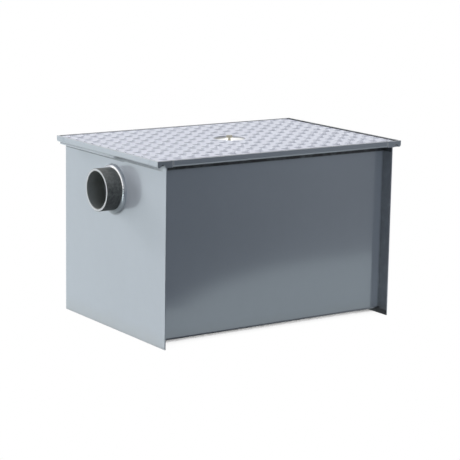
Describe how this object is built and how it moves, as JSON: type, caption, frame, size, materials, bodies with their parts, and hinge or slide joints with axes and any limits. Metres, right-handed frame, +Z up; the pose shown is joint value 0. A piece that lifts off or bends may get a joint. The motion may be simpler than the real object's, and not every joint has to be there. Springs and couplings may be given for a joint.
{
  "type": "grease trap",
  "caption": "Painted steel grease trap: box tank on plate feet with a raised rim, flush bolted tread-plate cover, pipe stubs at the ends, lift-out baffles and a deep-seal outlet trap.",
  "frame": {"origin": "on the floor under the centre of the tank", "axes": "+X from the inlet to the outlet, front wall at -Y, +Z up"},
  "size_m": [0.655, 0.407, 0.3892],
  "materials": {
    "tank_paint": "grey satin paint on steel sheet",
    "inside_paint": "grey satin paint, inside",
    "tread_paint": "pale grey paint on tread plate",
    "bright_plate": "bright plated steel",
    "pipe_steel": "dark mill scale, bright cut end",
    "zinc": "yellow zinc plate",
    "brass": "turned brass",
    "rubber": "matt black rubber"
  },
  "bodies": {
    "tank": {"tank_wrapper": "tank_paint", "inlet_end_plate": "tank_paint", "outlet_end_plate": "tank_paint", "rim_inlet": "tank_paint", "rim_outlet": "tank_paint", "rim_front": "tank_paint", "rim_back": "tank_paint", "rim_weld_bead": "tank_paint", "inlet_pipe": "pipe_steel", "outlet_pipe": "pipe_steel", "inlet_pipe_weld": "tank_paint", "outlet_pipe_weld": "tank_paint", "inlet_baffle": "inside_paint", "centre_baffle": "inside_paint", "outlet_baffle": "inside_paint", "inlet_baffle_guides": "inside_paint", "centre_baffle_guides": "inside_paint", "outlet_baffle_guides": "inside_paint", "outlet_trap": "inside_paint", "trap_cleanout_plug": "brass", "air_relief_tube": "pipe_steel", "crossbar": "inside_paint", "crossbar_brackets": "inside_paint", "crossbar_nut": "zinc", "cover_gasket": "rubber"},
    "cover": {"cover_plate": "tread_paint", "bolt_cup": "bright_plate", "bolt_seal": "rubber", "bolt_washer": "zinc"},
    "captive_ring": {"bolt_retainer": "rubber"},
    "bolt": {"cover_bolt": "zinc"}
  },
  "joints": [
    {"name": "cover_lift", "type": "slide", "parent": "tank", "child": "cover", "axis": [0, 0, 1], "range_m": [0, 0.16]},
    {"name": "bolt_rise", "type": "slide", "parent": "cover", "child": "captive_ring", "axis": [0, 0, 1], "range_m": [-0.0104, 0.013]},
    {"name": "bolt_turn", "type": "hinge", "parent": "captive_ring", "child": "bolt", "pos_m": [0, 0, 0.35], "axis": [0, 0, 1], "range_deg": [-3010, 3760]}
  ],
  "couplings": [
    {"joint": "bolt_turn", "follows": "bolt_rise", "rad_per_m": 5026.5}
  ]
}
